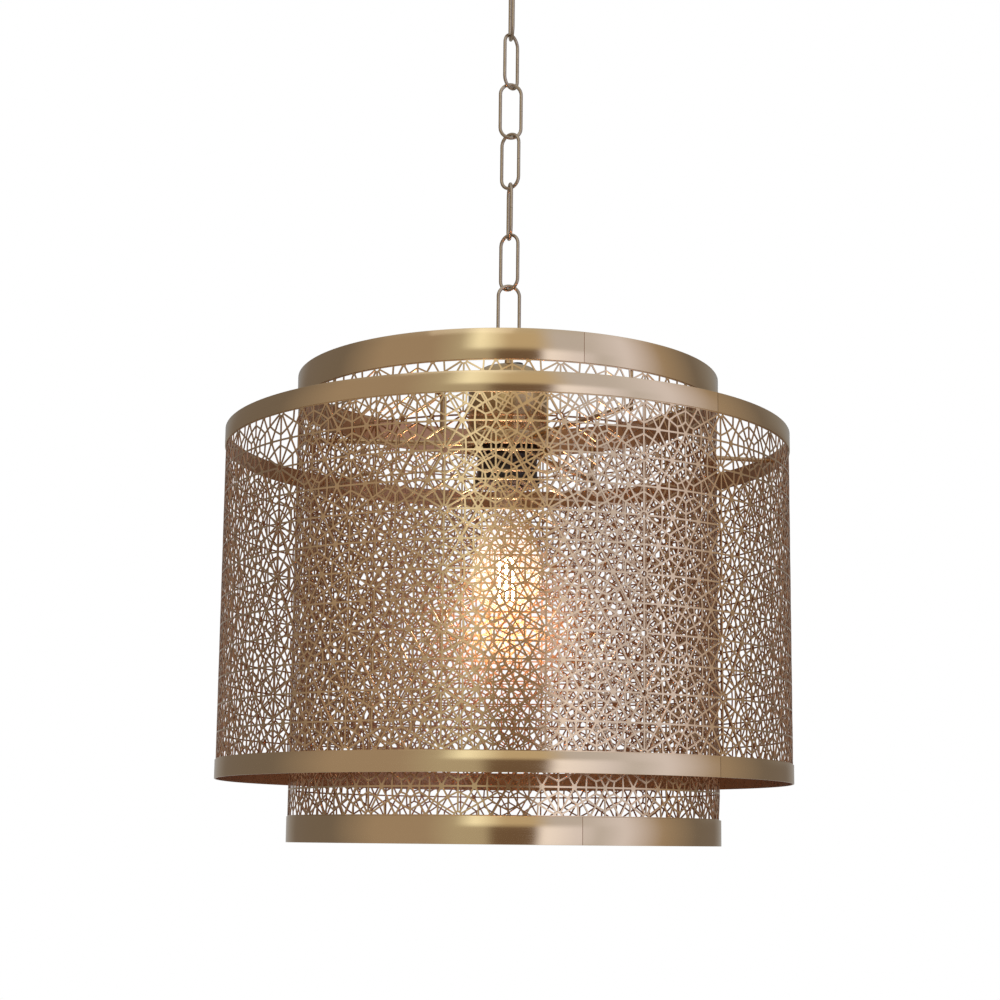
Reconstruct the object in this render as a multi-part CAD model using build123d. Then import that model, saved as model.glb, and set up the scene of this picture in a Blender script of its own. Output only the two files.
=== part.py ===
from build123d import *
import math
import os

# Hanging lantern: two concentric pierced-brass drums on a chain, lit by one bulb.
# Millimetres, +Z up.  The origin is on the ceiling plane, on the lantern's axis,
# midway between the two screw holes of the ceiling bracket.  -Y is the front.

# ---- drums ----------------------------------------------------------------
outer_diameter = 500.0
outer_height = 305.0
inner_diameter = 375.5
inner_height = 409.0
inner_top_rise = 51.0            # inner rim above outer rim
sheet_thickness = 0.8
band_thickness = 0.8
outer_band_width = 16.0
inner_top_band_width = 25.5
inner_bottom_band_width = 22.0
solder_gap = 0.05                # between a band and the sheet it is soldered to
band_slit = 0.4                  # butt joint left open where a band's ends meet
outer_seam_angle = 42.0          # degrees round from the front, to the right
inner_seam_angle = 19.0

# ---- chain ----------------------------------------------------------------
link_wire = 3.1
link_length = 54.6               # outside
link_width = 22.4                # outside
link_slit = 0.2                  # butt joint in one leg
link_gap = 0.3                   # free space between two hooked wires
first_link_turn = 98.0           # degrees from +X of the first link's width
link_twists = (-45.0, -45.0, -45.0, -45.0, 45.0, 45.0)

# ---- ceiling fitting ------------------------------------------------------
canopy_radius = 55.0
canopy_height = 32.0
canopy_wall = 1.0
canopy_round = 18.0
bracket_length = 96.0
bracket_width = 22.0
bracket_thickness = 2.0
bracket_drop = 12.0              # ceiling to the underside of the middle plate
bracket_middle = 44.0
screw_spacing = 70.0
screw_hole_radius = 2.25
hook_wire = 4.0
hook_inner_radius = 9.0
hook_mouth = 5.0
hook_stud_radius = 2.5
hook_stud_above_nut = 1.0
hook_neck = 4.0                  # canopy nut to hook ring
canopy_nut_height = 5.0
canopy_nut_radius = 8.0
nut_height = 4.0
nut_across_corners = 10.0
stud_clearance = 0.1

# ---- suspension, cup and spider -------------------------------------------
loop_wire = 4.0
loop_inner_radius = 8.0
loop_neck_radius = 3.5
loop_neck = 6.2                  # ring to cup
loop_flange_radius = 4.5
loop_flange_height = 2.0
loop_stud_radius = 3.3
loop_stud_length = 10.0
cup_diameter = 71.0
cup_height = 65.0
cup_wall = 1.0
cup_round = 22.0
gland_radius = 3.9
gland_bore_radius = 3.25
gland_flange_radius = 4.9
gland_flange_height = 2.5
gland_sleeve = 5.0
cup_gland_offset = 9.6
canopy_gland_offset = 22.0
cup_gland_angle = 60.0
canopy_gland_angle = 150.0       # clear of the bracket, so the flex can come straight down
tube_radius = 5.0
tube_bore_radius = 3.4
tube_engagement = 8.0            # length of the tube inside the lampholder
hub_overhang = 4.5               # the hub reaches this far beyond the cup all round
hub_diameter = cup_diameter + 2 * hub_overhang
hub_height = 12.0
hub_wall = 1.5
arm_wire = 4.5
arm_drop = 4.0                   # outer rim down to the arms' centre line
arm_angles = (33.0, 153.0, 273.0)
arm_engagement = 8.0             # length of each arm inside the hub's skirt
hanger_wire = 3.5
hanger_tail = 5.0                # hanger rod below the arms' centre line
spacer_wire = 4.0
spacer_angles = (-16.0, 104.0, 224.0)
spacer_leg = 30.0
fit_gap = 0.1                    # between rods and the walls they are soldered to
over_cut = 1.0                   # how far a cutter runs past the wall it cuts
cut_depth = 5.0                  # how far a hole's cutter reaches behind a thin wall

# ---- lampholder and bulb --------------------------------------------------
holder_diameter = 54.0
holder_below_arms = 38.0         # arms' centre line to the holder's mouth
thread_outer_radius = 14.6
thread_inner_radius = 13.45
thread_length = 24.0
socket_depth = 28.0
contact_height = 1.5
contact_radius = 5.0
ring_radius = 29.0
ring_height = 7.0
ring_gap = 0.05
cap_radius = 13.2
cap_height = 24.0
cap_wall = 0.5
insulator_height = 3.0
insulator_radius = 9.0
tip_radius = 4.5
tip_height = 1.3
tip_gap = 0.2
bulb_diameter = 64.0
bulb_glass_length = 113.0        # cap's lower edge to the glass tip
glass_wall = 0.8
neck_radius = 12.4
neck_inside_cap = 6.0
neck_below_cap = 2.0             # straight part of the neck
bulb_belly_height = 32.0         # glass tip up to the widest section
stem_radius = 3.0
stem_above_filaments = 8.0
filament_length = 38.0
filament_radius = 1.1
filament_count = 4
filament_circle_radius = 6.0
filament_above_tip = 31.0        # glass tip to the middle of the filaments
support_wire = 0.7

# ---- levels, from the ceiling down ----------------------------------------
bracket_top_of_plate = bracket_thickness - bracket_drop
canopy_bottom = -canopy_height
hook_ring_top = canopy_bottom - canopy_nut_height - hook_neck
hook_centre_radius = hook_inner_radius + hook_wire / 2
hook_centre = hook_ring_top - hook_wire / 2 - hook_centre_radius
hook_seat = hook_centre - hook_centre_radius
link_pitch = link_length - 2 * link_wire - link_gap
first_link_top = hook_seat + hook_wire / 2 + link_gap + link_wire
link_count = len(link_twists) + 1
link_tops = [first_link_top - k * link_pitch for k in range(link_count)]
link_turns = [first_link_turn + sum(link_twists[:k]) for k in range(link_count)]
last_link_bottom = link_tops[-1] - link_length
loop_top = last_link_bottom + link_wire + link_gap + loop_wire
loop_centre_radius = loop_inner_radius + loop_wire / 2
loop_centre = loop_top - loop_wire / 2 - loop_centre_radius
cup_top = loop_centre - loop_centre_radius - loop_wire / 2 - loop_neck
cup_bottom = cup_top - cup_height
hub_top = cup_bottom
hub_bottom = hub_top - hub_height
arm_level = hub_top - hub_height / 2
outer_top = arm_level + arm_drop
outer_bottom = outer_top - outer_height
inner_top = outer_top + inner_top_rise
inner_bottom = inner_top - inner_height
holder_bottom = arm_level - holder_below_arms
holder_top = hub_top - hub_wall
socket_floor = holder_bottom + socket_depth
tip_top = socket_floor - contact_height - tip_gap
insulator_top = tip_top - tip_height
cap_top = insulator_top - insulator_height
cap_bottom = cap_top - cap_height
bulb_tip = cap_bottom - bulb_glass_length
filament_middle = bulb_tip + filament_above_tip
stem_end = filament_middle + filament_length / 2 + stem_above_filaments

# ---- radii ----------------------------------------------------------------
outer_radius = outer_diameter / 2
inner_radius = inner_diameter / 2
outer_sheet_radius = outer_radius - band_thickness - solder_gap
inner_sheet_radius = inner_radius - band_thickness - solder_gap
outer_sheet_bore = outer_sheet_radius - sheet_thickness
inner_sheet_bore = inner_sheet_radius - sheet_thickness
hanger_circle = inner_sheet_bore - fit_gap - hanger_wire / 2
spacer_circle = inner_sheet_radius + fit_gap + spacer_wire / 2


# ---- shapes that several pieces share -------------------------------------
def column(radius, low, high, x=0.0, y=0.0):
    """An upright cylinder between two levels."""
    return Pos(x, y, (low + high) / 2) * Cylinder(radius, high - low)


def tube(outside, inside, low, high):
    """An upright tube, with its bore cut clear through both ends."""
    return column(outside, low, high) - column(inside, low - over_cut, high + over_cut)


def facing(angle):
    """Turns +X to an angle measured round from the front, -Y, to the right."""
    return Rot(0, 0, angle - 90)


def domed_shell(radius, height, wall, rounding):
    """A cup, mouth down, from z = 0 at its rounded top to -height."""
    outside = Pos(0, 0, -height / 2) * Cylinder(radius, height)
    outside = fillet(outside.edges().group_by(Axis.Z)[-1], rounding)
    inside = Pos(0, 0, -height / 2 - wall) * Cylinder(radius - wall, height)
    inside = fillet(inside.edges().group_by(Axis.Z)[-1], rounding - wall)
    return outside - inside


def hex_nut(bore, low):
    """A hexagon nut that stands on a level."""
    body = extrude(RegularPolygon(nut_across_corners / 2, 6), nut_height)
    return Pos(0, 0, low) * body - column(bore, low - over_cut, low + nut_height + over_cut)


def cable_gland(angle, offset, seat, inward):
    """A bush for the flex: a flange on the wall and a sleeve through it."""
    sleeve = column(gland_radius, min(seat, seat + inward), max(seat, seat + inward))
    side = -math.copysign(gland_flange_height, inward)
    flange = column(gland_flange_radius, min(seat, seat + side), max(seat, seat + side))
    low = min(seat + side, seat + inward) - over_cut
    high = max(seat + side, seat + inward) + over_cut
    bush = sleeve + flange - column(gland_bore_radius, low, high)
    return facing(angle) * Pos(offset, 0, 0) * bush


def gland_hole(angle, offset, low, high):
    """The hole in a wall that a gland's sleeve goes through."""
    return facing(angle) * column(gland_radius + stud_clearance, low, high, offset)


def band(radius, top, width, seam_angle):
    """A strip rolled round a drum, its two ends meeting at a narrow slit."""
    ring = tube(radius, radius - band_thickness, top - width, top)
    slit = Pos(radius, 0, top - width / 2) * Box(cut_depth, band_slit, width + 2 * over_cut)
    return ring - facing(seam_angle) * slit


def upright_ring(centre_radius, wire, level, turn):
    """A wire ring standing in a vertical plane that holds the Z axis."""
    return Pos(0, 0, level) * Rot(0, 0, turn) * Rot(90, 0, 0) * Torus(centre_radius, wire / 2)


# ---- ceiling fitting ------------------------------------------------------
def ceiling_bracket():
    foot_length = (bracket_length - bracket_middle) / 2
    foot_place = (bracket_length + bracket_middle) / 4
    middle = Pos(0, 0, bracket_top_of_plate - bracket_thickness / 2) * Box(
        bracket_middle, bracket_width, bracket_thickness
    )
    strap = middle
    for side in (-1, 1):
        foot = Box(foot_length, bracket_width, bracket_thickness)
        leg = Box(bracket_thickness, bracket_width, bracket_drop)
        strap += Pos(side * foot_place, 0, -bracket_thickness / 2) * foot
        leg_place = side * (bracket_middle + bracket_thickness) / 2
        strap += Pos(leg_place, 0, -bracket_drop / 2) * leg
        strap -= column(screw_hole_radius, -bracket_drop, over_cut, side * screw_spacing / 2)
    return strap - column(hook_stud_radius + stud_clearance, -bracket_drop - over_cut, 0)


def ceiling_canopy():
    cup = Rot(180, 0, 0) * domed_shell(canopy_radius, canopy_height, canopy_wall, canopy_round)
    cup = Pos(0, 0, canopy_bottom) * cup
    low, high = canopy_bottom - over_cut, canopy_bottom + cut_depth
    cup -= column(hook_stud_radius + stud_clearance, low, high)
    return cup - gland_hole(canopy_gland_angle, canopy_gland_offset, low, high)


def ceiling_hook():
    ring = upright_ring(hook_centre_radius, hook_wire, hook_centre, first_link_turn - 90)
    mouth = Pos(hook_centre_radius, 0, hook_centre + hook_centre_radius / 2)
    mouth = mouth * Box(2 * hook_wire, 2 * hook_wire, hook_mouth)
    ring -= Rot(0, 0, first_link_turn - 90) * mouth
    stud_top = bracket_top_of_plate + nut_height + hook_stud_above_nut
    return ring + column(hook_stud_radius, hook_ring_top - hook_wire / 2, stud_top)


def hook_nut():
    return hex_nut(hook_stud_radius + stud_clearance, bracket_top_of_plate)


def canopy_nut():
    bore = hook_stud_radius + stud_clearance
    return tube(canopy_nut_radius, bore, canopy_bottom - canopy_nut_height, canopy_bottom)


# ---- chain ----------------------------------------------------------------
def chain_link(k):
    """An oval of round wire, standing upright, with a butt joint in one leg."""
    bend = (link_width - link_wire) / 2
    half_leg = (link_length - link_width) / 2
    oval = Pos(-bend, 0, 0) * Cylinder(link_wire / 2, 2 * half_leg)
    leg = Pos(bend, 0, 0) * Cylinder(link_wire / 2, 2 * half_leg)
    oval += leg - Pos(bend, 0, 0) * Box(2 * link_wire, 2 * link_wire, link_slit)
    end = Rot(90, 0, 0) * Torus(bend, link_wire / 2)
    half = Pos(0, 0, link_width / 2) * Box(2 * link_width, 2 * link_wire, link_width)
    cap = end & half
    oval += Pos(0, 0, half_leg) * cap
    oval += Pos(0, 0, -half_leg) * Rot(180, 0, 0) * cap
    return Pos(0, 0, link_tops[k] - link_length / 2) * Rot(0, 0, link_turns[k]) * oval


# ---- suspension, cup and spider -------------------------------------------
def suspension_loop():
    ring = upright_ring(loop_centre_radius, loop_wire, loop_centre, link_turns[-1] + 90)
    neck = column(loop_neck_radius, cup_top, loop_centre - loop_centre_radius)
    flange = column(loop_flange_radius, cup_top, cup_top + loop_flange_height)
    return ring + neck + flange + column(loop_stud_radius, cup_top - loop_stud_length, cup_top)


def holder_cup():
    cup = Pos(0, 0, cup_top) * domed_shell(cup_diameter / 2, cup_height, cup_wall, cup_round)
    low, high = cup_top - cut_depth, cup_top + over_cut
    cup -= column(loop_stud_radius + stud_clearance, low, high)
    return cup - gland_hole(cup_gland_angle, cup_gland_offset, low, high)


def center_tube():
    return tube(tube_radius, tube_bore_radius, holder_top - tube_engagement, cup_top - cup_wall)


def spider_hub():
    pan = column(hub_diameter / 2, hub_bottom, hub_top)
    pan -= column(hub_diameter / 2 - hub_wall, hub_bottom - over_cut, hub_top - hub_wall)
    pan -= column(tube_radius + stud_clearance, hub_bottom, hub_top + over_cut)
    for angle in arm_angles:
        hole = Rot(0, 90, 0) * Cylinder(arm_wire / 2 + stud_clearance, 2 * cut_depth)
        pan -= facing(angle) * Pos(hub_diameter / 2, 0, arm_level) * hole
    return pan


def spider_arms():
    start = hub_diameter / 2 - arm_engagement
    end = hanger_circle - hanger_wire / 2 - fit_gap
    rod = Rot(0, 90, 0) * Cylinder(arm_wire / 2, end - start)
    rod = Pos((start + end) / 2, 0, arm_level) * rod
    return [facing(angle) * rod for angle in arm_angles]


def hanger_rods():
    rod = column(hanger_wire / 2, arm_level - hanger_tail, inner_top - hanger_tail, hanger_circle)
    return [facing(angle) * rod for angle in arm_angles]


def drum_spacers():
    """Bent rods: a leg down the inner drum and a bar out to the outer one."""
    end = outer_sheet_bore - fit_gap
    bar = Rot(0, 90, 0) * Cylinder(spacer_wire / 2, end - spacer_circle)
    bar = Pos((spacer_circle + end) / 2, 0, arm_level) * bar
    knee = Pos(spacer_circle, 0, arm_level) * Sphere(spacer_wire / 2)
    leg = column(spacer_wire / 2, arm_level - spacer_leg, arm_level, spacer_circle)
    return [facing(angle) * (bar + knee + leg) for angle in spacer_angles]


# ---- lampholder -----------------------------------------------------------
def lampholder_body():
    body = column(holder_diameter / 2, holder_bottom, holder_top)
    body -= column(thread_outer_radius + ring_gap, holder_bottom - over_cut, socket_floor)
    tube_end = holder_top - tube_engagement
    return body - column(tube_radius + stud_clearance, tube_end, holder_top + over_cut)


def lampholder_thread():
    low = socket_floor - contact_height - thread_length
    return tube(thread_outer_radius, thread_inner_radius, low, low + thread_length)


def shade_ring():
    bore = holder_diameter / 2 + ring_gap
    return tube(ring_radius, bore, holder_bottom, holder_bottom + ring_height)


# ---- bulb -----------------------------------------------------------------
def bulb_cap():
    inside = column(cap_radius - cap_wall, cap_bottom - over_cut, cap_top - cap_wall)
    return column(cap_radius, cap_bottom, cap_top) - inside


def bulb_insulator():
    cone = Cone(insulator_radius, tip_radius, insulator_height)
    return Pos(0, 0, (cap_top + insulator_top) / 2) * cone


def bulb_form(inset):
    """The solid of the pear-shaped envelope, moved inwards by a wall."""
    belly = bulb_diameter / 2 - inset
    neck = neck_radius - inset
    belly_level = bulb_tip + bulb_belly_height
    neck_level = cap_bottom - neck_below_cap
    side = Spline(
        (belly, 0, belly_level), (neck, 0, neck_level), tangents=((0, 0, 1), (0, 0, 1))
    )
    nose = Spline(
        (0, 0, bulb_tip + inset), (belly, 0, belly_level), tangents=((1, 0, 0), (0, 0, 1))
    )
    top = cap_bottom + neck_inside_cap
    rest = Polyline((neck, 0, neck_level), (neck, 0, top), (0, 0, top), (0, 0, bulb_tip + inset))
    return revolve(make_face(nose + side + rest), Axis.Z)


def bulb_glass():
    mouth = cap_bottom + neck_inside_cap + over_cut
    open_top = column(neck_radius - glass_wall, cap_bottom, mouth)
    return bulb_form(0) - bulb_form(glass_wall) - open_top


def bulb_stem():
    return column(stem_radius, stem_end, cap_bottom + neck_inside_cap)


def filament_supports():
    """Two wire crosses that carry the filaments, and the wire between them."""
    spokes = []
    for level in (filament_middle - filament_length / 2, filament_middle + filament_length / 2):
        outward = -support_wire / 2 if level < filament_middle else support_wire / 2
        for turn in (0, 90):
            bar = Rot(0, 90, 0) * Cylinder(support_wire / 2, 2 * filament_circle_radius)
            spokes.append(Rot(0, 0, turn) * Pos(0, 0, level + outward) * bar)
    foot = filament_middle - filament_length / 2 - support_wire
    frame = column(support_wire / 2, foot, stem_end)
    for spoke in spokes:
        frame += spoke
    return frame


def bulb_filaments():
    rod = Pos(filament_circle_radius, 0, filament_middle) * Cylinder(
        filament_radius, filament_length
    )
    step = 360 / filament_count
    return [Rot(0, 0, step * k) * rod for k in range(filament_count)]


pieces = {
    "ceiling_bracket": ceiling_bracket(),
    "ceiling_canopy": ceiling_canopy(),
    "canopy_gland": cable_gland(
        canopy_gland_angle, canopy_gland_offset, canopy_bottom, gland_sleeve
    ),
    "ceiling_hook": ceiling_hook(),
    "hook_nut": hook_nut(),
    "canopy_nut": canopy_nut(),
    "suspension_loop": suspension_loop(),
    "holder_cup": holder_cup(),
    "cup_gland": cable_gland(cup_gland_angle, cup_gland_offset, cup_top, -gland_sleeve),
    "center_tube": center_tube(),
    "spider_hub": spider_hub(),
    "spider_arms": spider_arms(),
    "hanger_rods": hanger_rods(),
    "drum_spacers": drum_spacers(),
    "inner_sheet": tube(inner_sheet_radius, inner_sheet_bore, inner_bottom, inner_top),
    "inner_top_band": band(inner_radius, inner_top, inner_top_band_width, inner_seam_angle),
    "inner_bottom_band": band(
        inner_radius, inner_bottom + inner_bottom_band_width, inner_bottom_band_width,
        inner_seam_angle
    ),
    "outer_sheet": tube(outer_sheet_radius, outer_sheet_bore, outer_bottom, outer_top),
    "outer_top_band": band(outer_radius, outer_top, outer_band_width, outer_seam_angle),
    "outer_bottom_band": band(
        outer_radius, outer_bottom + outer_band_width, outer_band_width, outer_seam_angle
    ),
    "lampholder_body": lampholder_body(),
    "lampholder_thread": lampholder_thread(),
    "lampholder_contact": column(contact_radius, socket_floor - contact_height, socket_floor),
    "shade_ring": shade_ring(),
    "bulb_cap": bulb_cap(),
    "bulb_insulator": bulb_insulator(),
    "bulb_contact": column(tip_radius, insulator_top, tip_top),
    "bulb_glass": bulb_glass(),
    "bulb_stem": bulb_stem(),
    "filament_supports": filament_supports(),
    "bulb_filaments": bulb_filaments(),
}
for k in range(link_count):
    pieces[f"chain_link_{k + 1}"] = chain_link(k)

os.makedirs("parts", exist_ok=True)
for name, shape in pieces.items():
    solids = shape if isinstance(shape, list) else shape.solids()
    export_step(Compound(children=list(solids)), f"parts/{name}.step")

print("levels: inner top", round(inner_top, 2), "bottom", round(inner_bottom, 2))
print("levels: outer top", round(outer_top, 2), "bottom", round(outer_bottom, 2))
print("arms", round(arm_level, 2), "cup", round(cup_top, 2), round(cup_bottom, 2))
print("hook seat", round(hook_seat, 2), "last link bottom", round(last_link_bottom, 2))
print("holder mouth", round(holder_bottom, 2), "bulb tip", round(bulb_tip, 2))
for k in range(link_count):
    print("link", k + 1, "turn", link_turns[k], "bottom wire",
          round(link_tops[k] - link_length + link_wire / 2, 3))
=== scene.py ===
# %% [markdown]
# # A hanging lantern of pierced brass
# The lantern is two brass drums, one inside the other. Their walls are thin sheet, pierced with
# a pattern of wheels and stars, and plain bands finish their edges. A chain carries them from the
# ceiling, and a bulb hangs in the middle. The solid model is loaded first, so that every new
# piece takes its place and size from it.

# %% Load the solid model
import math

import bmesh
import bpy
from mathutils import Matrix, Vector
from mathutils.geometry import interpolate_bezier


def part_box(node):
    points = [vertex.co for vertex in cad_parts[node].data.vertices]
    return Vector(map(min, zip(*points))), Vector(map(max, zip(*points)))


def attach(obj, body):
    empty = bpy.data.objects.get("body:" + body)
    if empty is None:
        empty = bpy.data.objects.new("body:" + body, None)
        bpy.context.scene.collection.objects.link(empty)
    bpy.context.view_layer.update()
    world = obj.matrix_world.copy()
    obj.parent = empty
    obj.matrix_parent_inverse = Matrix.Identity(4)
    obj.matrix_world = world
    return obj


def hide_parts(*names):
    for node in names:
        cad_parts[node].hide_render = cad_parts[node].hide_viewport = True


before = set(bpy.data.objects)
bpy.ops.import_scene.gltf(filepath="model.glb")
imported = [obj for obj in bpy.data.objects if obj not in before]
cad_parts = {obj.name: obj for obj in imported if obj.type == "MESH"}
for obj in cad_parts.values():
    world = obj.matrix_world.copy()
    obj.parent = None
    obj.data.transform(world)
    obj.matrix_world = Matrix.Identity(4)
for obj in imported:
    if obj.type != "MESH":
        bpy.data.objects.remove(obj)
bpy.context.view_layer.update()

MM = 0.001

# %% [markdown]
# ## Writing a finish as a sentence
# A finish is a small graph of nodes. Wiring it link by link hides the idea, so a value here is a
# thin wrapper round one socket: adding or multiplying values adds the Math nodes. Every other
# node comes from one method, which takes the node's type, its settings and its inputs.


# %% A value and a finish
class Value:
    """One output socket; arithmetic on it adds Math nodes."""

    def __init__(self, finish, socket):
        self.finish, self.socket = finish, socket

    def math(self, operation, first, second):
        settings = {"operation": operation}
        return self.finish.node("ShaderNodeMath", settings, {0: first, 1: second})

    def __add__(self, other):
        return self.math("ADD", self, other)

    def __sub__(self, other):
        return self.math("SUBTRACT", self, other)

    def __rsub__(self, other):
        return self.math("SUBTRACT", other, self)

    def __mul__(self, other):
        return self.math("MULTIPLY", self, other)

    def __truediv__(self, other):
        return self.math("DIVIDE", self, other)

    __radd__, __rmul__ = __add__, __mul__


class Finish:
    """A material that is built node by node."""

    def __init__(self, name, tree=None):
        if tree is None:
            self.material = bpy.data.materials.new(name)
            self.material.use_nodes = True
            tree = self.material.node_tree
        self.tree = tree
        self.tree.nodes.clear()

    def node(self, kind, settings=None, inputs=None, out=0):
        made = self.tree.nodes.new(kind)
        for key, value in (settings or {}).items():
            if key == "stops":
                self.set_stops(made.color_ramp, value)
            else:
                setattr(made, key, value)
        for key, value in (inputs or {}).items():
            if isinstance(value, Value):
                self.tree.links.new(value.socket, made.inputs[key])
            else:
                made.inputs[key].default_value = value
        return Value(self, made.outputs[out]) if made.outputs else None

    def set_stops(self, ramp, stops):
        while len(ramp.elements) < len(stops):
            ramp.elements.new(0.5)
        for element, (place, colour) in zip(ramp.elements, stops):
            element.position, element.color = place, (*colour, 1)

    def place(self, scale=(1, 1, 1)):
        """Object coordinates in metres, stretched."""
        own = self.node("ShaderNodeTexCoord", out="Object")
        return self.node("ShaderNodeMapping", None, {"Vector": own, "Scale": scale})

    def noise(self, scale, stretch=(1, 1, 1), detail=3.0):
        inputs = {"Vector": self.place(stretch), "Scale": scale, "Detail": detail}
        return self.node("ShaderNodeTexNoise", None, inputs)

    def blend(self, amount, first, second):
        """A colour between two colours."""
        inputs = {0: amount, 6: first, 7: second}
        return self.node("ShaderNodeMix", {"data_type": "RGBA"}, inputs, out=2)

    def bump(self, height, depth, strength=1.0):
        inputs = {"Height": height, "Distance": depth, "Strength": strength}
        return self.node("ShaderNodeBump", None, inputs)

    def surface(self, **inputs):
        sockets = {key.replace("_", " "): value for key, value in inputs.items()}
        shader = self.node("ShaderNodeBsdfPrincipled", None, sockets)
        self.node("ShaderNodeOutputMaterial", None, {"Surface": shader})
        return self.material


print("finish helpers ready")

# %% [markdown]
# ## Brass and the other metals
# A metal's colour is all in its reflections, so the base colours are light and the variety comes
# from roughness. The bands were rolled and brushed along their length: noise squeezed thin in
# height and long round the drum gives fine level lines. The etched sheet is duller, with small
# cloudy stains. Its inner side and the walls of its strips are painted darker and redder: painted
# shade, with the lamp's warm light painted in.


# %% Metals
def colour(red, green, blue):
    return (red, green, blue, 1)


def brushed_metal(name, light, dark, rough, lines=700.0, depth=0.00002):
    """Rolled strip: level brushing lines and slow changes of tone."""
    made = Finish(name)
    brushing = made.noise(6.0, (1, 1, lines / 6), 4.0)
    cloud = made.noise(14.0)
    tone = made.blend(cloud * 0.7 + brushing * 0.3, dark, light)
    return made.surface(
        Base_Color=tone, Metallic=1.0, Roughness=brushing * 0.10 + (cloud * 0.06 + rough - 0.08),
        Normal=made.bump(brushing, depth, 0.5),
    )


def cast_metal(name, light, dark, rough, grain=160.0, depth=0.00005):
    """Drawn wire and turned parts: fine pits and a little tarnish."""
    made = Finish(name)
    pits = made.noise(grain * 5, detail=2.0)
    tarnish = made.noise(grain)
    tone = made.blend(tarnish, dark, light)
    return made.surface(
        Base_Color=tone, Metallic=1.0, Roughness=tarnish * 0.16 + (rough - 0.08),
        Normal=made.bump(pits, depth, 0.4),
    )


def moulded(name, light, dark, rough):
    """Moulded plastic or fused glass: a faint orange-peel skin."""
    made = Finish(name)
    peel = made.noise(420.0)
    return made.surface(
        Base_Color=made.blend(peel, dark, light), Roughness=peel * 0.1 + (rough - 0.05),
        Normal=made.bump(peel, 0.00004, 0.3),
    )


satin_brass = brushed_metal(
    "satin_brass", colour(0.82, 0.67, 0.45), colour(0.76, 0.60, 0.39), 0.13
)
sheet_face = cast_metal(
    "pierced_sheet_face", colour(0.84, 0.66, 0.44), colour(0.74, 0.56, 0.35), 0.17
)
# The back finish is painted shade: a darker, redder copy of the face brass, with the lamp's warm
# light painted in.
shaded_sheet_back = cast_metal(
    "pierced_sheet_painted_shade", colour(0.52, 0.29, 0.17), colour(0.40, 0.22, 0.12), 0.28
)
cup_brass = brushed_metal("cup_brass", colour(0.62, 0.46, 0.25), colour(0.52, 0.37, 0.19), 0.26)
arm_brass = cast_metal("arm_brass", colour(0.66, 0.48, 0.27), colour(0.50, 0.35, 0.19), 0.30)
chain_metal = cast_metal(
    "chain_metal", colour(0.62, 0.54, 0.43), colour(0.40, 0.33, 0.25), 0.27, 260.0
)
plated_steel = cast_metal("plated_steel", colour(0.68, 0.67, 0.64), colour(0.52, 0.51, 0.49), 0.35)
contact_brass = cast_metal("contact_brass", colour(0.80, 0.62, 0.30), colour(0.62, 0.46, 0.2), 0.3)
cap_nickel = cast_metal("cap_nickel", colour(0.78, 0.74, 0.68), colour(0.62, 0.58, 0.52), 0.22)
solder = cast_metal("solder", colour(0.62, 0.62, 0.64), colour(0.45, 0.45, 0.47), 0.4)
bakelite = moulded("bakelite", colour(0.040, 0.022, 0.014), colour(0.022, 0.012, 0.008), 0.32)
gland_nylon = moulded("gland_nylon", colour(0.03, 0.03, 0.03), colour(0.015, 0.015, 0.015), 0.5)
black_glass = moulded("black_glass", colour(0.02, 0.02, 0.025), colour(0.01, 0.01, 0.01), 0.15)
print("metals and mouldings:", len(bpy.data.materials))

# %% [markdown]
# ## Glass and glowing wire
# Thin clear glass hardly bends light, so a nearly clear surface with a sharp gloss looks right
# and lets the lamp's light through without noise. The filaments give off their own warm light.


# %% Glass and filament
def thin_glass(name, tint, clear):
    made = Finish(name)
    ripple = made.noise(60.0)
    return made.surface(
        Base_Color=made.blend(ripple, tint, colour(1, 0.98, 0.94)), Roughness=0.04,
        Alpha=clear, Normal=made.bump(ripple, 0.0001, 0.1),
    )


def glowing(name, hot, cool, strength):
    made = Finish(name)
    shimmer = made.noise(300.0)
    return made.surface(
        Base_Color=cool, Emission_Color=made.blend(shimmer, cool, hot), Roughness=0.6,
        Emission_Strength=strength,
    )


clear_glass = thin_glass("clear_glass", colour(1.0, 0.93, 0.80), 0.045)
filament_glow = glowing("filament_glow", colour(1, 0.80, 0.48), colour(1, 0.66, 0.32), 30.0)
print("glass and glow ready")

# %% [markdown]
# ## Handing a piece over
# Each piece is shaped as a bmesh and then becomes an object. Here it gets smooth shading with
# sharp edges where the surface really turns, its finish and its body, and the solid it stands
# for is hidden.

# %% From mesh to piece
SHARP_TURN = math.radians(38)


def hand_over(bm, name, body, finishes, slot, *stands_for):
    for face in bm.faces:
        face.smooth = True
    for edge in bm.edges:
        edge.smooth = not (edge.is_manifold and edge.calc_face_angle(0) > SHARP_TURN)
    mesh = bpy.data.meshes.new(name)
    bm.to_mesh(mesh)
    bm.free()
    for finish in finishes:
        mesh.materials.append(finish)
    piece = bpy.data.objects.new(name, mesh)
    bpy.context.scene.collection.objects.link(piece)
    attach(piece, body)
    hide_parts(*stands_for)
    print(f"{name}: {len(mesh.polygons)} faces")
    return piece


def span(node):
    """Lowest and highest level of a solid, in metres."""
    low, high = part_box(node)
    return low.z, high.z


def facing(degrees):
    """A turn that takes +X to an angle measured round from the front to the right."""
    return Matrix.Rotation(math.radians(degrees - 90), 4, "Z")


def tidy(bm, near=1e-6):
    bmesh.ops.remove_doubles(bm, verts=bm.verts[:], dist=near)
    bmesh.ops.dissolve_degenerate(bm, edges=bm.edges[:], dist=near / 2)
    bmesh.ops.recalc_face_normals(bm, faces=bm.faces[:])
    return bm


print("hand_over ready")

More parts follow.
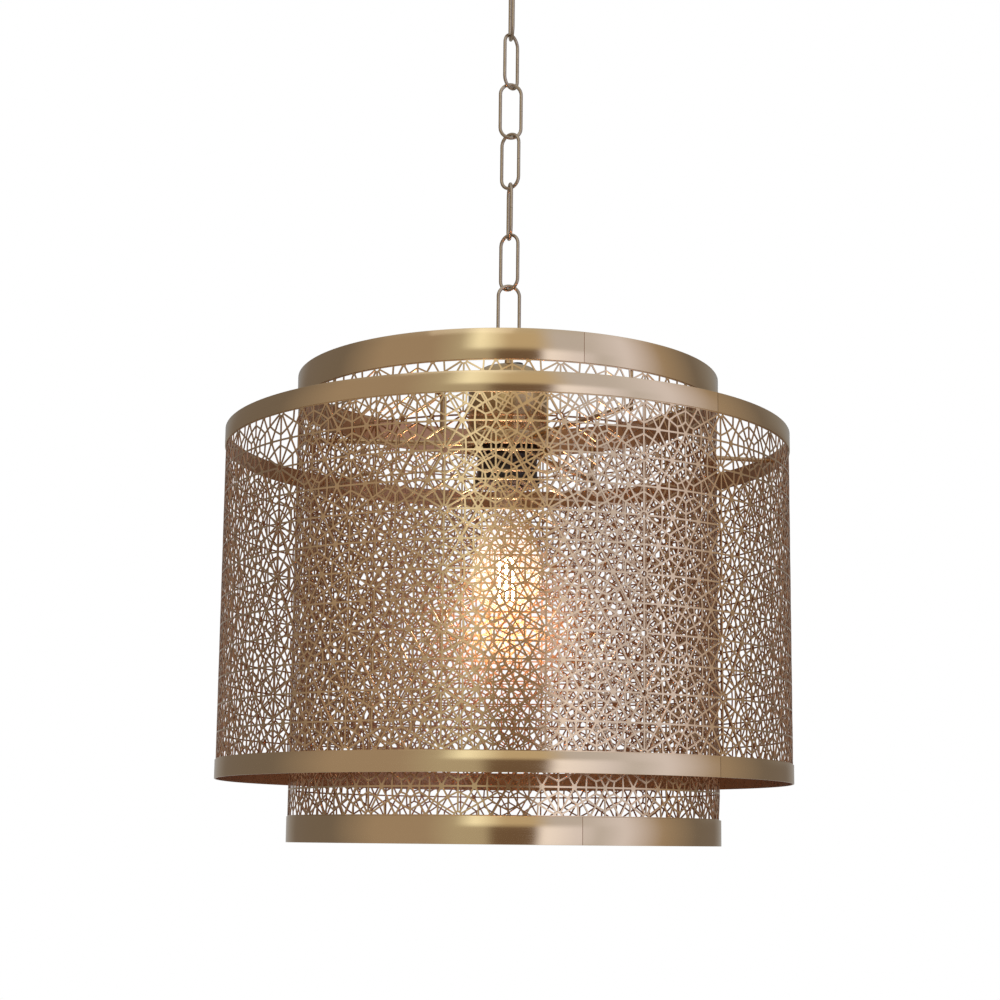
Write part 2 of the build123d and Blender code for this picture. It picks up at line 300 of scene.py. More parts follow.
# %% [markdown]
# ## The lattice's two wheels
# The pattern repeats a plane full of equal triangles. At some crossings sits an open ring with
# twelve rays, at others a solid hub with six petals, and at the rest a small solid dot. One slim
# right-angled wedge holds a twelfth of a wheel. It is drawn once for each kind, mirrored into a
# sixth, and spun into a full hexagon. Every cell of the drawing becomes a hole later, so only
# the middle lines of the strips are drawn here.

# %% Draw one wedge of each wheel
HOLE, DOT, EYE, PETAL, HUB = 1, 2, 3, 4, 5
EDGE_MIDDLE = math.sqrt(3) / 2  # crossing to the middle of the far side, in spacings
FLAT_AT, TIP_AT = 0.63, 0.70  # the bulged hexagon's side and corner
DOT_AT = 0.061
EYE_AT = 0.1165
HUB_AT, KNOT_AT, PETAL_TIP_AT = 0.044, 0.283, 0.364


def at(distance, degrees, centre=(0.0, 0.0)):
    turn = math.radians(degrees)
    x, y = centre
    return (x + distance * math.cos(turn), y + distance * math.sin(turn), 0)


def wheel(kind):
    """A hexagonal tile with a wheel in the middle and its six corners on dots."""
    bm = bmesh.new()
    part = bm.faces.layers.int.new("part")

    def cell(label, *points):
        face = bm.faces.new([bm.verts.new(point) for point in points])
        face[part] = label

    site = (1.0, 0.0)
    dot = [at(DOT_AT, turn, site) for turn in (180, 150, 120)]
    flat, tip, middle = at(FLAT_AT, 0), at(TIP_AT, 30), at(EDGE_MIDDLE, 30)
    cell(DOT, (1, 0, 0), *reversed(dot))
    cell(HOLE, flat, *dot, middle, tip)
    if kind == "ring":
        cell(EYE, (0, 0, 0), at(EYE_AT, 0), at(EYE_AT, 30))
        cell(HOLE, at(EYE_AT, 0), flat, tip, at(EYE_AT, 30))
    else:
        knot, petal_tip = at(KNOT_AT, 0), at(PETAL_TIP_AT, 30)
        cell(HUB, (0, 0, 0), at(HUB_AT, 0), at(HUB_AT, 30))
        cell(PETAL, at(HUB_AT, 0), knot, petal_tip, at(HUB_AT, 30))
        cell(HOLE, knot, flat, tip, petal_tip)
    turn = Matrix.Rotation(math.radians(-30), 4, "Z")
    bmesh.ops.mirror(bm, geom=bm.faces[:], matrix=turn, merge_dist=1e-4, axis="Y")
    bmesh.ops.remove_doubles(bm, verts=bm.verts[:], dist=1e-4)
    inside_petal = [
        edge for edge in bm.edges
        if len(edge.link_faces) == 2 and all(face[part] == PETAL for face in edge.link_faces)
    ]
    bmesh.ops.dissolve_edges(bm, edges=inside_petal, use_verts=False)
    bmesh.ops.spin(
        bm, geom=bm.faces[:], cent=(0, 0, 0), axis=(0, 0, 1), angle=math.tau * 5 / 6, steps=5,
        use_duplicate=True,
    )
    bmesh.ops.remove_doubles(bm, verts=bm.verts[:], dist=1e-4)
    for label in (EYE, HUB):
        middle_faces = [face for face in bm.faces if face[part] == label]
        if middle_faces:
            bmesh.ops.dissolve_faces(bm, faces=middle_faces, use_verts=False)
    tile = bpy.data.meshes.new(f"{kind}_wheel")
    bm.to_mesh(tile)
    bm.free()
    print(f"{kind} wheel: {len(tile.polygons)} cells")
    return tile


wheels = {kind: wheel(kind) for kind in ("ring", "petal")}

# %% [markdown]
# ## From wheels to a drum wall
# Ring wheels stand in columns, and petal wheels stand between them, half a row lower. The tiles
# are laid flat, merged, and cut along the bands' edges. Insetting every cell by half a strip
# leaves the strips, and the middles are deleted: what is left is the lattice. It is then rolled
# to the drum's radius and given the sheet's thickness. A half drum at a time keeps each piece a
# handy size.

# %% Lay, pierce and roll a wall
STRIP = 1.35 * MM
SHEET = 0.8 * MM
ROW = math.sqrt(3)  # two rows of wheels, in spacings
COLUMN = 3.0


def lay_wheels(rows, columns):
    bm = bmesh.new()
    for column in range(columns):
        places = [("ring", COLUMN * column, -ROW * row) for row in range(rows + 1)]
        places += [
            ("petal", COLUMN * (column + 0.5), -ROW * (row + 0.5)) for row in range(rows)
        ]
        for kind, across, down in places:
            known = len(bm.verts)
            bm.from_mesh(wheels[kind])
            bm.verts.ensure_lookup_table()
            bmesh.ops.translate(bm, verts=bm.verts[known:], vec=(across, down, 0))
    bmesh.ops.remove_doubles(bm, verts=bm.verts[:], dist=1e-3)
    return bm


def cut_level(bm, level, direction):
    bmesh.ops.bisect_plane(
        bm, geom=bm.verts[:] + bm.edges[:] + bm.faces[:], dist=1e-3,
        plane_co=(0, level, 0), plane_no=(0, direction, 0), clear_outer=True,
    )


def lattice_wall(name, node, rows, columns, around, radius, top, bottom, phase):
    """Part of a drum wall, from the lower edge of its top band to its bottom band."""
    spacing = math.tau * radius / around / COLUMN
    bm = lay_wheels(rows, columns)
    part = bm.faces.layers.int["part"]
    dots = [face for face in bm.faces if face[part] == DOT]
    bmesh.ops.dissolve_faces(bm, faces=dots, use_verts=False)
    cut_level(bm, 0, 1)
    cut_level(bm, -ROW * rows, -1)
    cells = [face for face in bm.faces if face[part] in (HOLE, EYE, PETAL)]
    bmesh.ops.inset_individual(
        bm, faces=cells, thickness=STRIP / 2 / spacing, use_even_offset=True
    )
    bmesh.ops.delete(bm, geom=[face for face in cells if face.is_valid], context="FACES")
    height_scale = (top - bottom) / (ROW * rows)
    for vert in bm.verts:
        angle = math.radians(phase) + vert.co.x * spacing / radius
        level = top + vert.co.y * height_scale
        vert.co = (radius * math.sin(angle), -radius * math.cos(angle), level)
    bmesh.ops.recalc_face_normals(bm, faces=bm.faces[:])
    first = bm.faces[:][0]
    if first.normal.dot(first.calc_center_median() * Vector((1, 1, 0))) < 0:
        bmesh.ops.reverse_faces(bm, faces=bm.faces[:])
    bmesh.ops.solidify(bm, geom=bm.faces[:], thickness=SHEET)
    # Faces turned inward and the strip walls take the back finish, the painted shade of the drum's
    # inside.
    for face in bm.faces:
        outward = face.calc_center_median() * Vector((1, 1, 0))
        face.material_index = int(face.normal.dot(outward.normalized()) < 0.5)
    reach = [Vector(vert.co[:2]).length / MM for vert in bm.verts]
    print(f"{name}: radius {min(reach):.2f} to {max(reach):.2f} mm")
    return hand_over(bm, name, "lantern", [sheet_face, shaded_sheet_back], "pierced_brass", node)

# %% [markdown]
# ## A lathe for everything round
# Bands, cups, domes and the bulb are all turned shapes. An outline is drawn once beside the
# axis, its corners are rounded with a vertex bevel, and a spin sweeps it round.

# %% Lathe and joiner
def outline_loop(bm, outline, start=0.0):
    """A closed outline of (radius, height, rounding) corners, standing at an angle."""
    turn = Matrix.Rotation(math.radians(start), 4, "Z")
    corners = [bm.verts.new(turn @ Vector((r, 0, z))) for r, z, rounding in outline]
    for corner, following in zip(corners, corners[1:] + corners[:1]):
        bm.edges.new((corner, following))
    for corner, (r, z, rounding) in zip(corners, outline):
        if rounding:
            bmesh.ops.bevel(
                bm, geom=[corner], offset=rounding, affect="VERTICES", profile=0.5,
                segments=max(2, min(8, int(rounding / MM * 3))), material=-1,
            )


def turned(outline, steps=120, turn=math.tau, start=0.0):
    """A lathe: spins a closed outline about the lantern's axis."""
    bm = bmesh.new()
    outline_loop(bm, outline, start)
    full = turn > math.tau - 1e-9
    bmesh.ops.spin(
        bm, geom=bm.verts[:] + bm.edges[:], cent=(0, 0, 0), axis=(0, 0, 1), angle=turn,
        steps=steps, use_merge=full,
    )
    tidy(bm)
    if not full:
        bmesh.ops.holes_fill(bm, edges=[edge for edge in bm.edges if edge.is_boundary])
        bmesh.ops.recalc_face_normals(bm, faces=bm.faces[:])
    return bm


def join(bm, other):
    """Adds one bmesh's shells to another."""
    carrier = bpy.data.meshes.new("carrier")
    other.to_mesh(carrier)
    other.free()
    bm.from_mesh(carrier)
    bpy.data.meshes.remove(carrier)
    return bm


def ring_shell(inside, outside, low, high, rounding=0.0, **spin):
    outline = [(inside, low), (outside, low), (outside, high), (inside, high)]
    return turned([(r, z, rounding) for r, z in outline], 180, **spin)


print("lathe ready")

# %% [markdown]
# ## Two drum walls
# Each wall is two halves of lattice, and the plain margins of the same sheet that the bands
# cover. The outer drum has twenty columns of ring wheels to a turn. The inner drum has room for
# fifteen, but its two equal halves lay seven each, so a narrow strip stays open at each side.

# %% Both drum walls
def drum_wall(drum, around, rows, ring_column):
    """Two halves of lattice and the plain edges behind the bands."""
    node = f"{drum}_sheet"
    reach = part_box(node)[1].x
    low, high = span(node)
    bottom = span(f"{drum}_bottom_band")[1]
    top = span(f"{drum}_top_band")[0]
    half = around // 2
    for side, start in (("front", ring_column - 90), ("back", ring_column + 90)):
        lattice_wall(
            f"{drum}_lattice_{side}", node, rows, half, around, reach, top, bottom, start
        )
    edges = ring_shell(reach - SHEET, reach, top, high)
    join(edges, ring_shell(reach - SHEET, reach, low, bottom))
    # The plain edges take only the back finish, which carries painted shade.
    hand_over(edges, f"{drum}_sheet_edges", "lantern", [shaded_sheet_back], "pierced_brass", node)


RING_COLUMN = 7.0  # the halves start a quarter turn before and after this angle
drum_wall("outer", 20, 6, RING_COLUMN)
drum_wall("inner", 15, 8, RING_COLUMN)

# %% [markdown]
# ## The bands
# Each band is a strip rolled into a ring and soldered over the sheet's edge, so its two ends
# meet at a fine upright joint. A rounded rectangle spun almost all the way round leaves just
# that joint open.

# %% Four bands
BAND_SLIT = 0.4 * MM
for drum, seam in (("outer", 42.0), ("inner", 19.0)):
    for edge in ("top", "bottom"):
        node = f"{drum}_{edge}_band"
        low, high = span(node)
        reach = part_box(node)[1].x
        gap = BAND_SLIT / reach
        band = ring_shell(
            reach - SHEET, reach, low, high, 0.25 * MM,
            turn=math.tau - gap, start=seam - 90 + math.degrees(gap / 2),
        )
        hand_over(band, f"{node}_strip", "lantern", [satin_brass], "satin_brass", node)

# %% [markdown]
# ## The chain
# A link is round wire bent into a long oval, with its two ends butted together half way up one
# leg. The wire's round section is drawn once and taken along that path: straight up, half a turn,
# down, half a turn, and up to the joint.

# %% Seven links
FIRST_TURN = 98.0
TWISTS = (-45, -45, -45, -45, 45, 45)
LINK_WIRE, LINK_WIDTH, LINK_SLIT = 3.1 * MM, 22.4 * MM, 0.2 * MM


def wire_end(bm, wire, place, segments=16):
    made = bmesh.ops.create_circle(bm, segments=segments, radius=wire / 2)["verts"]
    bmesh.ops.translate(bm, verts=made, vec=place)
    return list({edge for vert in made for edge in vert.link_edges})


def run_straight(bm, ring, move):
    made = bmesh.ops.extrude_edge_only(bm, edges=ring)["geom"]
    bmesh.ops.translate(bm, verts=[v for v in made if isinstance(v, bmesh.types.BMVert)], vec=move)
    return [edge for edge in made if isinstance(edge, bmesh.types.BMEdge) and edge.is_boundary]


def run_round(bm, ring, centre, degrees, steps=20, axis=(0, -1, 0)):
    made = bmesh.ops.spin(
        bm, geom=ring, cent=centre, axis=axis, angle=math.radians(degrees), steps=steps
    )["geom_last"]
    return [edge for edge in made if isinstance(edge, bmesh.types.BMEdge)]


def close_ends(bm):
    bmesh.ops.remove_doubles(bm, verts=bm.verts[:], dist=1e-7)
    bmesh.ops.holes_fill(bm, edges=[edge for edge in bm.edges if edge.is_boundary])
    bmesh.ops.recalc_face_normals(bm, faces=bm.faces[:])
    return bm


def oval_link(length):
    bend = (LINK_WIDTH - LINK_WIRE) / 2
    half_leg = (length - LINK_WIDTH) / 2
    bm = bmesh.new()
    ring = wire_end(bm, LINK_WIRE, (bend, 0, LINK_SLIT / 2))
    ring = run_straight(bm, ring, (0, 0, half_leg - LINK_SLIT / 2))
    ring = run_round(bm, ring, (0, 0, half_leg), 180)
    ring = run_straight(bm, ring, (0, 0, -2 * half_leg))
    ring = run_round(bm, ring, (0, 0, -half_leg), 180)
    run_straight(bm, ring, (0, 0, half_leg - LINK_SLIT / 2))
    return close_ends(bm)


turn = FIRST_TURN
for number in range(1, len(TWISTS) + 2):
    node = f"chain_link_{number}"
    low, high = span(node)
    link = oval_link(high - low)
    place = Matrix.Translation((0, 0, (low + high) / 2))
    link.transform(place @ Matrix.Rotation(math.radians(turn), 4, "Z"))
    hand_over(link, f"{node}_wire", f"link_{number}", [chain_metal], "chain_metal", node)
    if number <= len(TWISTS):
        turn += TWISTS[number - 1]
last_turn = turn

# %% [markdown]
# ## The hook, the canopy and the loop on the cup
# The hook is a bent wire with an open mouth under a threaded stud; the loop on the cup is the
# same kind of ring, closed, on a short neck with a collar. The canopy is a shallow turned dome.

# %% Ceiling fitting and loop
MOUTH_TURN = 30.0  # the hook's mouth stands this far below its right-hand side
SOFT = 0.3 * MM  # rounding of a small edge


def rod(bm, radius, low, high, place=Matrix.Identity(4), segments=32, edge=SOFT):
    """An upright round bar with softened ends."""
    made = bmesh.ops.create_cone(
        bm, cap_ends=True, segments=segments, radius1=radius, radius2=radius, depth=high - low,
        matrix=place @ Matrix.Translation((0, 0, (low + high) / 2)),
    )["verts"]
    rims = [
        e for v in made for e in v.link_edges
        if any(len(f.verts) > 4 for f in e.link_faces)
    ]
    bmesh.ops.bevel(
        bm, geom=list(set(rims)), offset=edge, affect="EDGES", segments=2, profile=0.5,
        material=-1,
    )


def ring_of_wire(bm, centre_radius, wire, level, turn, opening=0.0):
    """An upright ring, with an opening in degrees beside its right-hand side."""
    part = bmesh.new()
    start = wire_end(part, wire, (centre_radius, 0, 0))
    mouth_turn = MOUTH_TURN if opening else 0.0
    bmesh.ops.rotate(
        part, verts=part.verts[:], cent=(0, 0, 0),
        matrix=Matrix.Rotation(-math.radians(mouth_turn + opening / 2), 3, "Y"),
    )
    run_round(part, start, (0, 0, 0), 360 - opening, 40)
    close_ends(part)
    part.transform(Matrix.Translation((0, 0, level)) @ Matrix.Rotation(math.radians(turn), 4, "Z"))
    join(bm, part)


low, high = span("ceiling_hook")
HOOK_WIRE, HOOK_RADIUS, HOOK_STUD = 4.0 * MM, 11.0 * MM, 2.5 * MM
hook = bmesh.new()
hook_centre = low + HOOK_WIRE / 2 + HOOK_RADIUS
ring_of_wire(hook, HOOK_RADIUS, HOOK_WIRE, hook_centre, FIRST_TURN - 90, 26.0)
rod(hook, HOOK_STUD, hook_centre + HOOK_RADIUS - HOOK_WIRE / 4, high)
hand_over(hook, "ceiling_hook_wire", "ceiling", [chain_metal], "chain_metal", "ceiling_hook")

low, high = span("canopy_nut")
HOOK_BORE, KNOB, KNOB_TIP = 2.6 * MM, 8.0 * MM, 5.5 * MM
knob = turned([
    (HOOK_BORE, low, 0), (KNOB_TIP, low, 1 * MM), (KNOB, low + 2 * MM, 1 * MM),
    (KNOB, high, SOFT), (HOOK_BORE, high, 0),
], 48)
hand_over(knob, "canopy_knob", "ceiling", [satin_brass], "satin_brass", "canopy_nut")

low, high = span("ceiling_canopy")
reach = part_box("ceiling_canopy")[1].x
WALL, CANOPY_ROUND = 1.0 * MM, 18.0 * MM
dome = turned([
    (HOOK_BORE, low, 0), (reach, low, CANOPY_ROUND), (reach, high, 0.4 * MM),
    (reach - WALL, high, 0.4 * MM), (reach - WALL, low + WALL, CANOPY_ROUND - WALL),
    (HOOK_BORE, low + WALL, 0),
])
hand_over(dome, "ceiling_canopy_dome", "ceiling", [satin_brass], "satin_brass", "ceiling_canopy")

low, high = span("suspension_loop")
cup_low, cup_high = span("holder_cup")
LOOP_WIRE, LOOP_RADIUS = 4.0 * MM, 10.0 * MM
loop_centre = high - LOOP_WIRE / 2 - LOOP_RADIUS
loop = turned([
    (0, low, 0), (3.3 * MM, low, 0.4 * MM), (3.3 * MM, cup_high, 0), (4.5 * MM, cup_high, 0),
    (4.5 * MM, cup_high + 2 * MM, 0.6 * MM), (3.5 * MM, cup_high + 2.4 * MM, 0),
    (3.0 * MM, loop_centre - LOOP_RADIUS, 0.5 * MM), (0, loop_centre - LOOP_RADIUS, 0),
], 48)
ring_of_wire(loop, LOOP_RADIUS, LOOP_WIRE, loop_centre, last_turn + 90)
hand_over(loop, "suspension_ring", "lantern", [arm_brass], "cup_brass", "suspension_loop")

# %% [markdown]
# ## The cup, the hub and the spider
# The cup is a deep spun-brass dome that hides the wiring. Under it a shallow pan takes three
# rods that reach out to the inner drum, and three short bent rods tie the outer drum on.

# %% Cup and hub
CUP_ROUND, STUD_BORE, TUBE_BORE = 22.0 * MM, 3.4 * MM, 5.1 * MM
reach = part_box("holder_cup")[1].x
cup = turned([
    (STUD_BORE, cup_high, 0), (reach, cup_high, CUP_ROUND), (reach, cup_low, SOFT),
    (reach - WALL, cup_low, SOFT), (reach - WALL, cup_high - WALL, CUP_ROUND - WALL),
    (STUD_BORE, cup_high - WALL, 0),
])
hand_over(cup, "wiring_cup", "lantern", [cup_brass], "cup_brass", "holder_cup")

low, high = span("spider_hub")
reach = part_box("spider_hub")[1].x
PAN = 1.5 * MM
hub = turned([
    (TUBE_BORE, high, 0), (reach, high, 2 * MM), (reach, low, 0.5 * MM),
    (reach - PAN, low, 0.4 * MM), (reach - PAN, high - PAN, 1 * MM), (TUBE_BORE, high - PAN, 0),
])
hand_over(hub, "spider_pan", "lantern", [arm_brass], "cup_brass", "spider_hub")

# %% Arms, hanger rods and spacers
ARMS, SPACERS = (33.0, 153.0, 273.0), (-16.0, 104.0, 224.0)
ARM_WIRE, HANGER_WIRE, SPACER_WIRE = 4.5 * MM, 3.5 * MM, 4.0 * MM
FIT, ARM_IN_PAN = 0.1 * MM, 8.0 * MM
inner_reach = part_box("inner_sheet")[1].x
outer_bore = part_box("outer_sheet")[1].x - SHEET
hanger_circle = inner_reach - SHEET - FIT - HANGER_WIRE / 2
spacer_circle = inner_reach + FIT + SPACER_WIRE / 2
arm_level = sum(span("spider_arms")) / 2
lying = Matrix.Rotation(math.pi / 2, 4, "Y")

arms, hangers, spacers = bmesh.new(), bmesh.new(), bmesh.new()
low, high = span("hanger_rods")
for degrees in ARMS:
    start, end = reach - ARM_IN_PAN, hanger_circle - HANGER_WIRE / 2 - FIT
    place = facing(degrees) @ Matrix.Translation((0, 0, arm_level)) @ lying
    rod(arms, ARM_WIRE / 2, start, end, place)
    place = facing(degrees) @ Matrix.Translation((hanger_circle, 0, 0))
    rod(hangers, HANGER_WIRE / 2, low, high, place)
leg_low = span("drum_spacers")[0]
KNEE = 5.0 * MM
for degrees in SPACERS:
    bent = bmesh.new()
    ring = wire_end(bent, SPACER_WIRE, (spacer_circle, 0, leg_low))
    ring = run_straight(bent, ring, (0, 0, arm_level - KNEE - leg_low))
    ring = run_round(bent, ring, (spacer_circle + KNEE, 0, arm_level - KNEE), 90, 10, (0, 1, 0))
    run_straight(bent, ring, (outer_bore - FIT - spacer_circle - KNEE, 0, 0))
    close_ends(bent)
    bent.transform(facing(degrees))
    join(spacers, bent)
hand_over(arms, "spider_rods", "lantern", [arm_brass], "cup_brass", "spider_arms")
hand_over(hangers, "hanger_uprights", "lantern", [arm_brass], "cup_brass", "hanger_rods")
hand_over(spacers, "bent_spacers", "lantern", [arm_brass], "cup_brass", "drum_spacers")

# %% [markdown]
# ## The lampholder and the bulb
# The holder is a dark moulded barrel with grooves, and a screw ring at its mouth. The bulb is a
# thin clear pear with a ribbed screw cap. Its glass is an outline of smooth curves, spun round.

# %% Lampholder
low, high = span("lampholder_body")
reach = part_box("lampholder_body")[1].x
BORE, SOCKET = 14.65 * MM, 28.0 * MM
GROOVE = 1.2 * MM
barrel = [(BORE, low, SOFT), (reach, low, SOFT)]
for level in (low + 14 * MM, low + 20 * MM, low + 26 * MM):
    barrel += [
        (reach, level, SOFT), (reach - GROOVE, level + GROOVE, 0),
        (reach, level + 2 * GROOVE, SOFT),
    ]
barrel += [
    (reach, high, 3 * MM), (TUBE_BORE, high, 0), (TUBE_BORE, low + SOCKET, 0),
    (BORE, low + SOCKET, 0),
]
hand_over(turned(barrel), "lampholder_barrel", "lantern", [bakelite], "bakelite", "lampholder_body")

low, high = span("shade_ring")
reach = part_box("shade_ring")[1].x
COLLAR_BORE, RIB, RIBS = 27.05 * MM, 0.9 * MM, 48
collar = turned([
    (COLLAR_BORE, low, 0.2 * MM), (reach - 1 * MM, low, 0.5 * MM),
    (reach - 1 * MM, high, 0.5 * MM), (COLLAR_BORE, high, 0.2 * MM),
])
for rib in range(RIBS):
    turn = Matrix.Rotation(math.tau * rib / RIBS, 4, "Z")
    rod(
        collar, RIB, low + 0.8 * MM, high - 0.8 * MM,
        turn @ Matrix.Translation((reach - RIB, 0, 0)), 10,
    )
hand_over(collar, "shade_ring_collar", "lantern", [bakelite], "bakelite", "shade_ring")

# %% Bulb
glass_low, glass_high = span("bulb_glass")
cap_low, cap_high = span("bulb_cap")
cap_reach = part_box("bulb_cap")[1].x
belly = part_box("bulb_glass")[1].x
BELLY_UP, NECK, GLASS = 32.0 * MM, 12.4 * MM, 0.8 * MM


def pear_outline(inset):
    """Points down one side of the envelope, from neck to tip, moved in by a wall."""
    neck = Vector((NECK - inset, 0, cap_low - 2 * MM))
    wide = Vector((belly - inset, 0, glass_low + BELLY_UP))
    tip = Vector((0, 0, glass_low + inset))
    down = Vector((0, 0, -36 * MM))
    side = interpolate_bezier(neck, neck + down, wide - down, wide, 18)
    round_off = Vector((0, 0, -(BELLY_UP - inset) * 0.55))
    nose = interpolate_bezier(wide, wide + round_off, tip + Vector((belly * 0.56, 0, 0)), tip, 14)
    return [(NECK - inset, glass_high)] + [(p.x, p.z) for p in side + nose[1:]]


outside = pear_outline(0.0)
inside = pear_outline(GLASS)
envelope = turned([(r, z, 0) for r, z in outside + inside[::-1]], 72)
hand_over(envelope, "bulb_envelope", "bulb", [clear_glass], "clear_glass", "bulb_glass")

THREAD, DEPTH = 3.6 * MM, 0.5 * MM
ribs = [(cap_reach - 0.5 * MM, cap_low, 0), (cap_reach, cap_low, 0.2 * MM)]
level = cap_low + THREAD
while level < cap_high - THREAD:
    ribs += [
        (cap_reach - DEPTH / 2, level - THREAD / 2, 0.3 * MM), (cap_reach, level, 0.4 * MM),
    ]
    level += THREAD
ribs += [
    (cap_reach, cap_high, 1.5 * MM), (4 * MM, cap_high, 0), (4 * MM, cap_high - 0.5 * MM, 0),
    (cap_reach - 1.2 * MM, cap_high - 0.5 * MM, 0.5 * MM), (cap_reach - 1.2 * MM, cap_low, 0),
]
hand_over(turned(ribs, 72), "bulb_screw_cap", "bulb", [cap_nickel], "cap_nickel", "bulb_cap")

# %% [markdown]
# ## Finishes for the solids that stay
# Small fittings whose solid shape is already right keep it, and only take a finish.

# %% Dress the remaining solids
kept = {
    plated_steel: ("ceiling_bracket", "hook_nut", "center_tube", "filament_supports"),
    gland_nylon: ("canopy_gland", "cup_gland"),
    contact_brass: ("lampholder_thread", "lampholder_contact"),
    black_glass: ("bulb_insulator",),
    solder: ("bulb_contact",),
    clear_glass: ("bulb_stem",),
    filament_glow: ("bulb_filaments",),
}
for finish, nodes in kept.items():
    for node in nodes:
        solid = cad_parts[node]
        solid.data.materials.clear()
        solid.data.materials.append(finish)
print("dressed", sum(len(nodes) for nodes in kept.values()), "solids")

# %% [markdown]
# ## Light, floor and camera
# Polished brass shows the room around it, so the room is the main light. It is painted on the
# world as a few soft upright patches: a plaster wall and a cream panel on the left, a dark doorway
# in the middle, two cool windows with a post between them on the right, and dark corners. A
# downlight and a shelf stand higher up. The lamp itself is a small warm light in the middle of the
# filaments. The floor only bounces light up, so it is hidden from the camera.

# %% The room
WHITE = (1.0, 1.0, 1.0)
REAR_WALL, DIM_REAR = (0.50, 0.50, 0.50), (0.35, 0.35, 0.35)
CORNER = (0.20, 0.17, 0.15)
PLASTER = (0.40, 0.32, 0.25)
CREAM_PANEL = (0.50, 0.45, 0.35)
DARK_DOORWAY = (0.18, 0.12, 0.08)
BRIGHT_WINDOW, WINDOW, WINDOW_POST = (1.1, 1.1, 1.3), (0.8, 0.8, 1.0), (0.6, 0.6, 0.7)
DOWNLIGHT, AMBER_SHELF = (1.2, 1.2, 1.0), (0.6, 0.5, 0.35)
LOW_WALL = (  # degrees round from behind the camera to the right, and what stands there
    (-180, REAR_WALL), (-140, CORNER), (-100, CORNER), (-70, PLASTER), (-40, PLASTER),
    (-25, CREAM_PANEL), (-10, CREAM_PANEL), (-5, DARK_DOORWAY), (15, DARK_DOORWAY),
    (20, BRIGHT_WINDOW), (40, WINDOW), (50, WINDOW_POST), (65, WINDOW), (90, PLASTER),
    (120, CORNER), (145, CORNER), (180, REAR_WALL),
)
HIGH_WALL = (
    (-180, DIM_REAR), (-140, CORNER), (-100, CORNER), (-70, PLASTER), (-40, PLASTER),
    (-25, CREAM_PANEL), (-15, DOWNLIGHT), (0, AMBER_SHELF), (15, AMBER_SHELF),
    (25, WINDOW_POST), (40, WINDOW_POST), (65, WINDOW), (90, PLASTER), (120, CORNER),
    (180, DIM_REAR),
)
world = bpy.data.worlds.new("studio_room")
bpy.context.scene.world = world
world.use_nodes = True
room = Finish("room", world.node_tree)
direction = room.node("ShaderNodeTexCoord", out="Generated")
split = room.node("ShaderNodeSeparateXYZ", None, {"Vector": direction}, out="X")
away = Value(room, split.socket.node.outputs["Y"])
up = Value(room, split.socket.node.outputs["Z"])
azimuth = room.node("ShaderNodeMath", {"operation": "ARCTAN2"}, {0: split, 1: 0 - away})
round_room = azimuth / math.tau + 0.5


def wall(stops):
    """A ring of light round the room."""
    placed = [(degrees / 360 + 0.5, light) for degrees, light in stops]
    return room.node("ShaderNodeValToRGB", {"stops": placed}, {"Fac": round_room})


rise = room.node("ShaderNodeMapRange", {"interpolation_type": "SMOOTHSTEP"}, {
    "Value": up, "From Min": 0.06, "From Max": 0.20,
})
seen = room.node("ShaderNodeLightPath", out="Is Camera Ray")
walls = room.blend(rise, wall(LOW_WALL), wall(HIGH_WALL))
ceiling = room.node("ShaderNodeMapRange", {"interpolation_type": "SMOOTHSTEP"}, {
    "Value": up, "From Min": 0.45, "From Max": 0.85,
})
walls = room.blend(ceiling, walls, (0.55, 0.54, 0.52, 1))
light = room.node("ShaderNodeBackground", None, {
    "Color": room.blend(seen, walls, (*WHITE, 1)), "Strength": 1.0,
})
room.node("ShaderNodeOutputWorld", None, {"Surface": light})
print("room walls:", len(LOW_WALL), "and", len(HIGH_WALL), "patches")

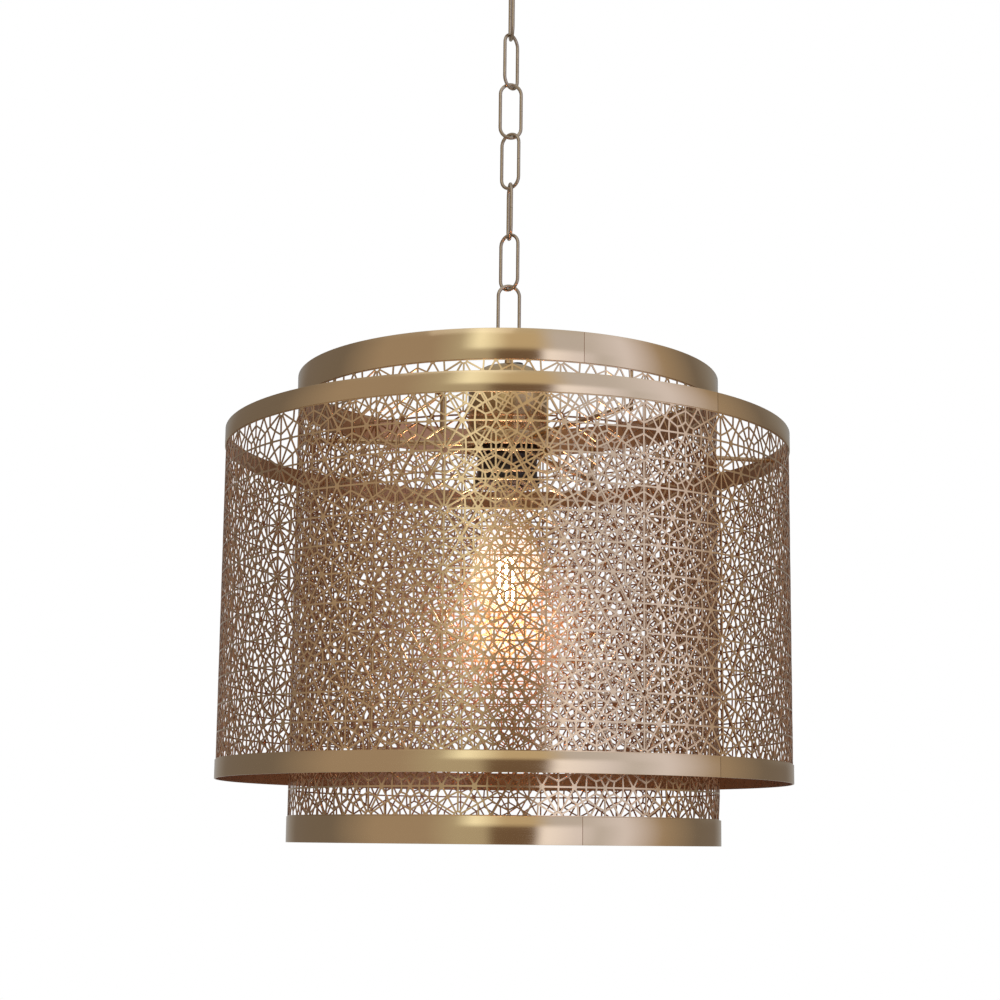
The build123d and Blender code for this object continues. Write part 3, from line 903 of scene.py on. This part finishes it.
# %% Lamp, floor and camera
filament_low, filament_high = span("bulb_filaments")
lamp = bpy.data.lights.new("lamp", "POINT")
lamp.energy, lamp.color, lamp.shadow_soft_size = 0.6, (1.0, 0.66, 0.40), 0.010
lamp_place = bpy.data.objects.new("lamp", lamp)
lamp_place.location = (0, 0, (filament_low + filament_high) / 2)
bpy.context.scene.collection.objects.link(lamp_place)

fill = bpy.data.lights.new("overhead_softbox", "AREA")
fill.energy, fill.size = 3.0, 2.0
fill_place = bpy.data.objects.new("overhead_softbox", fill)
fill_place.location = (-0.6, -1.6, 1.6)
fill_place.rotation_euler = (Vector((0, 0, -0.5)) - fill_place.location).to_track_quat(
    "-Z", "Y"
).to_euler()
bpy.context.scene.collection.objects.link(fill_place)

FLOOR_LEVEL, FLOOR_SIZE = -2.4, 6.0
floor_mesh = bmesh.new()
bmesh.ops.create_grid(floor_mesh, x_segments=8, y_segments=8, size=FLOOR_SIZE / 2)
bmesh.ops.translate(floor_mesh, verts=floor_mesh.verts[:], vec=(0, 0, FLOOR_LEVEL))
floor_data = bpy.data.meshes.new("studio_floor")
floor_mesh.to_mesh(floor_data)
floor_mesh.free()
floor_data.materials.append(
    moulded("studio_floor", colour(0.86, 0.85, 0.83), colour(0.80, 0.79, 0.77), 0.6)
)
studio_floor = bpy.data.objects.new("studio_floor", floor_data)
bpy.context.scene.collection.objects.link(studio_floor)
studio_floor.visible_camera = False

camera_data = bpy.data.cameras.new("camera")
camera_data.lens, camera_data.sensor_width = 66.60, 36.0
camera_data.shift_x, camera_data.shift_y = -0.0063, 0.060
camera = bpy.data.objects.new("camera", camera_data)
LOOK_UP, ROLL = 0.1509, 0.0098
EYE_DISTANCE, EYE_BELOW_RIM = 1.6231, 0.4064
eye_level = span("inner_top_band")[1] - EYE_BELOW_RIM
aim = Matrix.Rotation(math.pi / 2 + LOOK_UP, 4, "X") @ Matrix.Rotation(ROLL, 4, "Z")
camera.matrix_world = Matrix.Translation((0, -EYE_DISTANCE, eye_level)) @ aim
bpy.context.scene.collection.objects.link(camera)
bpy.context.scene.camera = camera
bpy.context.scene.view_settings.view_transform = "Standard"
print("camera at", [round(v, 3) for v in camera.location])
